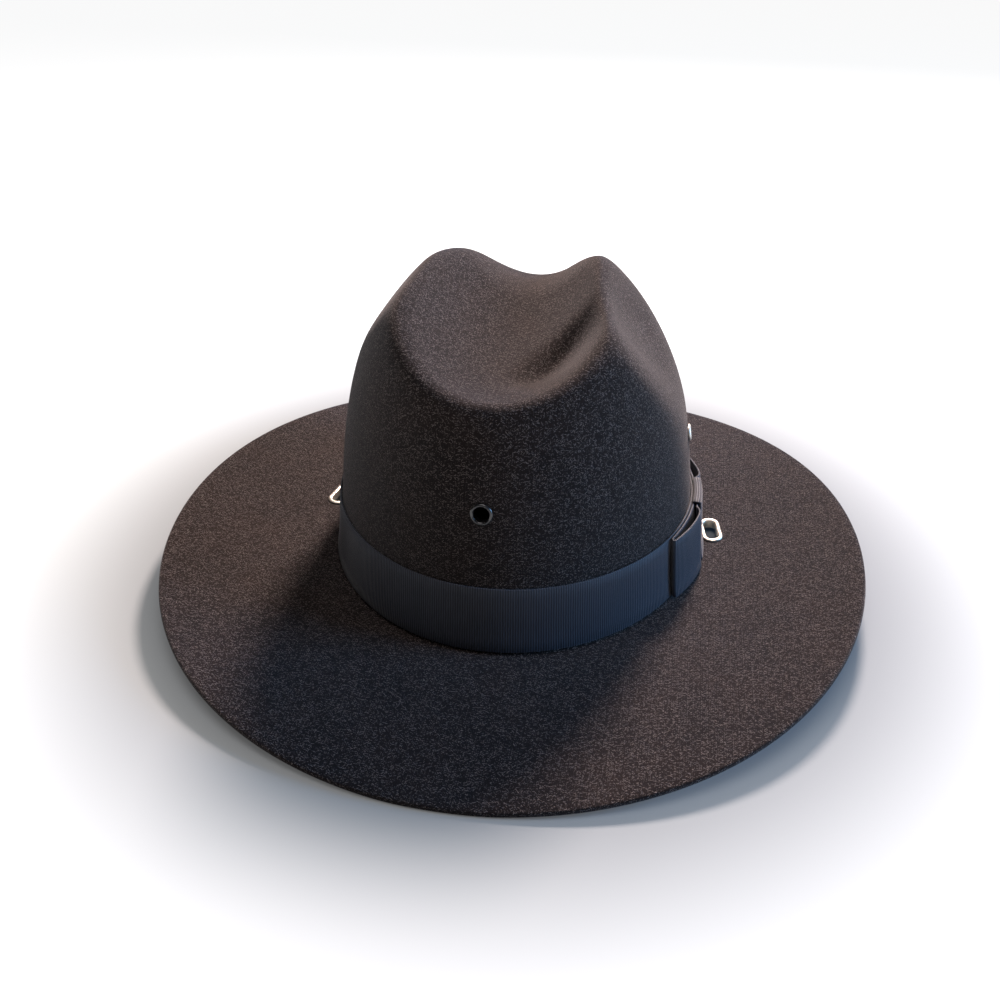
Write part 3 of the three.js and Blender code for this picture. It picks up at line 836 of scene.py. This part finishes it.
class HAT_OT_felt(bpy.types.Operator):
    """Shapes the felt crown and brim as one hollow piece, and cuts its holes"""

    bl_idname = "hat.felt"
    bl_label = "Felt crown and brim"

    columns = 288
    crown_rows = 84
    row_crowding = 0.4
    crowded_at = 0.42
    fillet_rows = 4
    brim_rows = 22

    def execute(self, context):
        shape, ribbon, eyelets, colours = settings()
        felt = Felt(shape)
        angle = np.linspace(0, FULL_TURN, self.columns + 1)[None, :]
        lean = RIGHT_ANGLE * crowded(self.crown_rows, self.row_crowding, self.crowded_at)[:, None]
        turn = np.linspace(0, RIGHT_ANGLE, self.fillet_rows + 1)[1:, None]
        share = (np.arange(1, self.brim_rows + 1) / self.brim_rows)[:, None]
        points = np.concatenate([felt.crown(angle, lean), felt.fillet(angle, turn), felt.brim(angle, share)])
        points[:, -1] = points[:, 0]
        piece = clean(shaped_grid("felt_hat", points), 2 * MERGE, shell=True)
        apply_modifier(
            piece, "SOLIDIFY", "wall", thickness=shape.felt, offset=-1.0, use_even_offset=True, use_rim=True)
        apply_modifier(
            piece, "BEVEL", "cut_edge", width=shape.edge_rounding, segments=3, limit_method="ANGLE",
            angle_limit=math.radians(55))
        clearance = eyelets.metal + ribbon.gap
        cutters = [hole_cutter(row, shape.felt, clearance) for row in eyelet_rows(felt, eyelets)]
        for cutter in cutters:
            apply_modifier(piece, "BOOLEAN", "hole", operation="DIFFERENCE", solver="EXACT", object=cutter)
            bpy.data.objects.remove(cutter)
        places = np.empty(len(piece.data.vertices) * 3, np.float32)
        piece.data.vertices.foreach_get("co", places)
        places[2::3] = np.maximum(places[2::3], 0)
        piece.data.vertices.foreach_set("co", places)
        smooth(piece, 50)
        settle(piece, "felt", felt_finish(colours), "felt_body")
        return {"FINISHED"}


def ribbed(stations, ribs, depth):
    """How far a ribbon's face stands in at each station, for whole ribs round its length."""
    return depth * (0.5 - 0.5 * np.cos(FULL_TURN * ribs * stations)) ** 0.8


def ribbon_section(height, thickness):
    """A ribbon's outline across its length, as places across it and out from its back."""
    edge = thickness * 0.3
    across = [edge, 0, 0, edge * 0.9]
    out = [0, edge, thickness - edge * 1.2, thickness * 0.96]
    face = np.linspace(0, 1, 7)[1:-1]
    rows = list(zip(across, out))
    rows += [(edge + (height - 2 * edge) * f, thickness) for f in face]
    rows += [(height - a, o) for a, o in reversed(list(zip(across, out)))]
    return np.array(rows)


class HAT_OT_band(bpy.types.Operator):
    """Lays the ribbed band round the foot of the crown"""

    bl_idname = "hat.band"
    bl_label = "Band"

    columns_per_rib = 4
    walk_steps = 1440

    def execute(self, context):
        shape, ribbon, _, colours = settings()
        felt = Felt(shape)
        middle = ribbon.gap + ribbon.band_height / 2
        coarse = np.linspace(0, FULL_TURN, self.walk_steps + 1)
        walk = felt.beside_wall(coarse, np.full(coarse.shape, middle), np.full(coarse.shape, ribbon.gap))
        gone = steps_along(walk)
        ribs = round(gone[-1] / ribbon.rib_pitch)
        stations = np.linspace(0, 1, ribs * self.columns_per_rib + 1)
        angles = np.interp(stations * gone[-1], gone, coarse)
        section = ribbon_section(ribbon.band_height, ribbon.thickness)
        section = np.concatenate([section, section[:1]])
        across, out = section[:, :1], section[:, 1:]
        groove = ribbed(stations, ribs, ribbon.rib_depth)[None, :] * (out > ribbon.thickness * 0.9)
        angle_grid = np.broadcast_to(angles[None, :], (len(section), len(angles)))
        height = ribbon.gap + across + 0 * angle_grid
        points = felt.beside_wall(angle_grid, height, ribbon.gap + out - groove)
        points[:, -1] = points[:, 0]
        uv = np.stack([np.broadcast_to(stations * ribs, angle_grid.shape), height * MILLIMETRES], axis=-1)
        piece = clean(shaped_grid("band_ribbon", points, uv))
        smooth(piece, 60)
        settle(piece, "ribbon", ribbon_finish(colours, "band_weave"), "hat_band")
        return {"FINISHED"}


def smooth_ring(points, count):
    """A smooth closed curve through points, as count places evenly far apart, and its length."""
    points = np.asarray(points, float)
    t = np.linspace(0, 1, 24, endpoint=False)[:, None, None]
    p0, p1, p2, p3 = (np.roll(points, -ahead, axis=0)[None] for ahead in (-1, 0, 1, 2))
    curve = 0.5 * ((2 * p1) + (p2 - p0) * t + (2 * p0 - 5 * p1 + 4 * p2 - p3) * t**2
                   + (3 * p1 - p0 - 3 * p2 + p3) * t**3)
    curve = np.vstack([curve.transpose(1, 0, 2).reshape(-1, 2), points[:1]])
    gone = steps_along(curve)
    at = np.linspace(0, gone[-1], count)
    return np.stack([np.interp(at, gone, curve[:, k]) for k in range(2)], axis=1), gone[-1]


class BandFace:
    """Turns a run along the band, a stand off its face and a height into a place."""

    widest_angle = 0.7
    walk_steps = 1400

    def __init__(self, felt, ribbon):
        self.felt = felt
        self.face = ribbon.gap + ribbon.thickness
        self.middle = ribbon.gap + ribbon.band_height / 2
        start = math.asin((ribbon.bow_setback - felt.shape.crown_setback) / (felt.shape.crown_length / 2))
        self.angles = start + np.linspace(self.widest_angle, -self.widest_angle, self.walk_steps + 1)
        flat = np.full(self.angles.shape, self.middle)
        walk = felt.beside_wall(self.angles, flat, np.full(self.angles.shape, self.face))
        gone = steps_along(walk)
        self.runs = gone - np.interp(-start, -self.angles, gone)

    def place(self, run, stand, height):
        angle, stand, height = np.broadcast_arrays(np.interp(run, self.runs, self.angles), stand, height)
        return self.felt.beside_wall(angle, height, self.face + stand)


class HAT_OT_bow(bpy.types.Operator):
    """Folds the bow's two loops and wraps the knot round their middle"""

    bl_idname = "hat.bow"
    bl_label = "Bow"

    columns_per_rib = 4
    across_rows = 9

    def ring(self, name, path, low, high, ribbon, place):
        """A ring of ribbon: path is its middle line, low and high its edges, place sets it on the band."""
        _, length = smooth_ring(path, 2)
        ribs = round(length / ribbon.rib_pitch)
        count = ribs * self.columns_per_rib + 1
        line, _ = smooth_ring(path, count)
        tangent = np.roll(line[:-1], -1, axis=0) - np.roll(line[:-1], 1, axis=0)
        tangent = np.vstack([tangent, tangent[:1]])
        side = np.stack([tangent[:, 1], -tangent[:, 0]], axis=1) / np.linalg.norm(tangent, axis=1)[:, None]
        stations = np.linspace(0, 1, count)
        groove = ribbed(stations, ribs, ribbon.rib_depth)
        half = ribbon.thickness / 2
        edge = half * 0.5
        between = np.linspace(low, high, self.across_rows)[1:-1]
        section = [(low + edge, half), (low, half - edge), (low, edge - half), (low + edge, -half)]
        section += [(across, -half) for across in between]
        section += [(high - edge, -half), (high, edge - half), (high, half - edge), (high - edge, half)]
        section += [(across, half) for across in between[::-1]]
        section.append(section[0])
        rows, maps = [], []
        for across, out in section:
            depth = math.copysign(1, out) * groove * (abs(out) >= half)
            rows.append(place(line + side * (out - depth)[:, None], across))
            maps.append(np.stack([stations * ribs, np.full(count, across * MILLIMETRES)], axis=-1))
        points = np.array(rows)
        points[:, -1] = points[:, 0]
        return clean(shaped_grid(name, points, np.array(maps)))

    def loop(self, name, turn, face, ribbon):
        """A loop of the bow, turn 1 towards the front and -1 towards the back."""
        start = ribbon.gap + ribbon.thickness / 2
        length = ribbon.bow_length / 2 - ribbon.gap - ribbon.thickness
        depth = ribbon.bow_stand - ribbon.thickness
        path = [(start + point["run"] * length, start + point["stand"] * depth) for point in LOOP_SECTION]

        def place(at, height):
            return face.place(turn * at[:, 0], np.maximum(at[:, 1], ribbon.gap), height)

        low, high = face.middle - ribbon.bow_height / 2, face.middle + ribbon.bow_height / 2
        return self.ring(name, path, low, high, ribbon, place)

    def knot(self, face, ribbon):
        """The knot's ribbon runs upright round the loops, so its ribs lie level."""
        half = ribbon.thickness / 2
        low = face.middle - ribbon.bow_height / 2 - ribbon.gap - half
        high = face.middle + ribbon.bow_height / 2 + ribbon.gap + half
        near, far = ribbon.gap + half, ribbon.knot_stand + ribbon.gap + half
        bend = half * 1.6
        short = bend * 0.35
        upright = (high - low - 2 * bend) * np.linspace(0, 1, 5)
        path = [(far, z) for z in low + bend + upright]
        path += [(far - short, high - short), (far - bend, high), ((near + far) / 2, high)]
        path += [(near + bend, high), (near + short, high - short)]
        path += [(near, z) for z in high - bend - upright]
        path += [(near + short, low + short), (near + bend, low), ((near + far) / 2, low)]
        path += [(far - bend, low), (far - short, low + short)]

        def place(at, run):
            return face.place(np.full(len(at), run), np.maximum(at[:, 0], ribbon.gap), at[:, 1])

        half_width = ribbon.knot_width / 2
        return self.ring("bow_knot_ribbon", path, -half_width, half_width, ribbon, place)

    def execute(self, context):
        shape, ribbon, _, colours = settings()
        face = BandFace(Felt(shape), ribbon)
        weave = ribbon_finish(colours, "bow_weave")
        pieces = [
            (self.loop("bow_front_ribbon", 1, face, ribbon), "bow_front_loop"),
            (self.loop("bow_back_ribbon", -1, face, ribbon), "bow_back_loop"),
            (self.knot(face, ribbon), "bow_knot"),
        ]
        for piece, node in pieces:
            smooth(piece, 60)
            settle(piece, "ribbon", weave, node)
        return {"FINISHED"}


class HAT_OT_eyelets(bpy.types.Operator):
    """Spins the badge, vent and strap eyelets and sets them in the felt"""

    bl_idname = "hat.eyelets"
    bl_label = "Eyelets"

    spin_steps = 64

    def eyelet(self, row, felt_thickness, eyelets, gap):
        """One eyelet, its section spun round the hole and set in the felt."""
        behind = -felt_thickness - eyelets.washer_gap
        places = []
        for point in EYELET_SECTION:
            above = point["side"] == "above"
            off = eyelets.lip * point["off"]
            up = gap + off if above else behind - off
            places.append((row["width"] / 2 + row["flange"] * point["out"], up))
        barrel = row["width"] / 2 + eyelets.metal
        places += [(barrel, behind), (barrel, gap)]
        deselect_all()
        bpy.ops.mesh.primitive_circle_add(vertices=len(places), radius=0.001, fill_type="NOTHING")
        piece = bpy.context.object
        piece.name = row["node"] + "_ring"
        start = math.pi / self.spin_steps
        for vertex, (out, up) in zip(piece.data.vertices, places):
            vertex.co = (out * math.cos(start), out * math.sin(start), up)
        bpy.ops.object.mode_set(mode="EDIT")
        bpy.ops.mesh.select_all(action="SELECT")
        bpy.ops.mesh.spin(steps=self.spin_steps, angle=FULL_TURN, center=(0, 0, 0), axis=(0, 0, 1))
        bpy.ops.object.mode_set(mode="OBJECT")
        clean(piece)
        stretch_to_slot(piece, row["width"], row["length"])
        piece.data.transform(row["frame"])
        smooth(piece, 40)
        return piece

    def execute(self, context):
        shape, ribbon, eyelets, colours = settings()
        finishes = {"black_enamel": enamel_finish(colours), "pale_metal": metal_finish(colours)}
        for row in eyelet_rows(Felt(shape), eyelets):
            piece = self.eyelet(row, shape.felt, eyelets, ribbon.gap)
            settle(piece, row["slot"], finishes[row["slot"]], row["node"])
        return {"FINISHED"}


class HAT_OT_stage(bpy.types.Operator):
    """Sets up the floor, the camera and the lights"""

    bl_idname = "hat.stage"
    bl_label = "Stage"

    floor_size = 12
    floor_drop = 0.0002
    sky_colour = (0.93, 0.96, 1.0, 1)

    def camera(self, context, stage):
        """The camera, at the angle of the photograph."""
        back = Vector((
            math.sin(stage.azimuth) * math.cos(stage.elevation),
            -math.cos(stage.azimuth) * math.cos(stage.elevation),
            math.sin(stage.elevation)))
        aim = Vector((
            stage.aside * math.cos(stage.azimuth),
            stage.aside * math.sin(stage.azimuth),
            stage.height))
        data = bpy.data.cameras.new("view")
        data.sensor_width = SENSOR_WIDTH
        data.lens = stage.lens
        data.clip_start, data.clip_end = 0.01, 50
        camera = bpy.data.objects.new("view", data)
        context.scene.collection.objects.link(camera)
        camera.location = aim + back * stage.distance
        camera.rotation_mode = "QUATERNION"
        camera.rotation_quaternion = (-back).to_track_quat("-Z", "Y")
        context.scene.camera = camera

    def lamp(self, context, name, place, size, colour, power):
        data = bpy.data.lights.new(name, "AREA")
        data.shape = "DISK"
        data.size = size
        data.energy = power
        data.color = colour
        lamp = bpy.data.objects.new(name, data)
        context.scene.collection.objects.link(lamp)
        lamp.location = place
        lamp.rotation_euler = (Vector(LAMP_AIM) - Vector(place)).to_track_quat("-Z", "Y").to_euler()

    def execute(self, context):
        stage = context.scene.hat_stage
        deselect_all()
        bpy.ops.mesh.primitive_plane_add(size=self.floor_size, location=(0, 0, -self.floor_drop))
        floor = bpy.context.object
        floor.name = "floor"
        floor.data.materials.append(floor_finish(context.scene.hat_colours, stage))
        self.camera(context, stage)
        for row in LAMPS:
            self.lamp(context, power=getattr(stage, row["name"] + "_power"), **row)
        world = bpy.data.worlds.new("even_light")
        world.use_nodes = True
        background = world.node_tree.nodes["Background"]
        background.inputs["Color"].default_value = self.sky_colour
        background.inputs["Strength"].default_value = stage.sky_power
        context.scene.world = world
        context.scene.view_settings.view_transform = "Standard"
        return {"FINISHED"}


STEPS = (HAT_OT_felt, HAT_OT_band, HAT_OT_bow, HAT_OT_eyelets, HAT_OT_stage)


GROUPS = {
    "hat_shape": HatShape,
    "hat_ribbon": RibbonShape,
    "hat_eyelets": EyeletShape,
    "hat_colours": HatColours,
    "hat_stage": StageSettings,
}


class HAT_PT_panel(bpy.types.Panel):
    """The hat's steps and sizes"""

    bl_idname = "HAT_PT_panel"
    bl_label = "Campaign hat"
    bl_space_type = "VIEW_3D"
    bl_region_type = "UI"
    bl_category = "Hat"

    def draw(self, context):
        for step in STEPS:
            self.layout.operator(step.bl_idname)
        for name in GROUPS:
            box = self.layout.box()
            group = getattr(context.scene, name)
            box.label(text=name.replace("_", " ").capitalize())
            for key in group.bl_rna.properties.keys():
                if key not in ("rna_type", "name"):
                    box.prop(group, key)


def register():
    for name, group in GROUPS.items():
        bpy.utils.register_class(group)
        setattr(bpy.types.Scene, name, PointerProperty(type=group))
    for step in STEPS:
        bpy.utils.register_class(step)
    bpy.utils.register_class(HAT_PT_panel)


def unregister():
    bpy.utils.unregister_class(HAT_PT_panel)
    for step in reversed(STEPS):
        bpy.utils.unregister_class(step)
    for name, group in reversed(GROUPS.items()):
        delattr(bpy.types.Scene, name)
        bpy.utils.unregister_class(group)


def main():
    register()
    for step in STEPS:
        group, name = step.bl_idname.split(".")
        getattr(getattr(bpy.ops, group), name)()


if __name__ == "__main__":
    main()
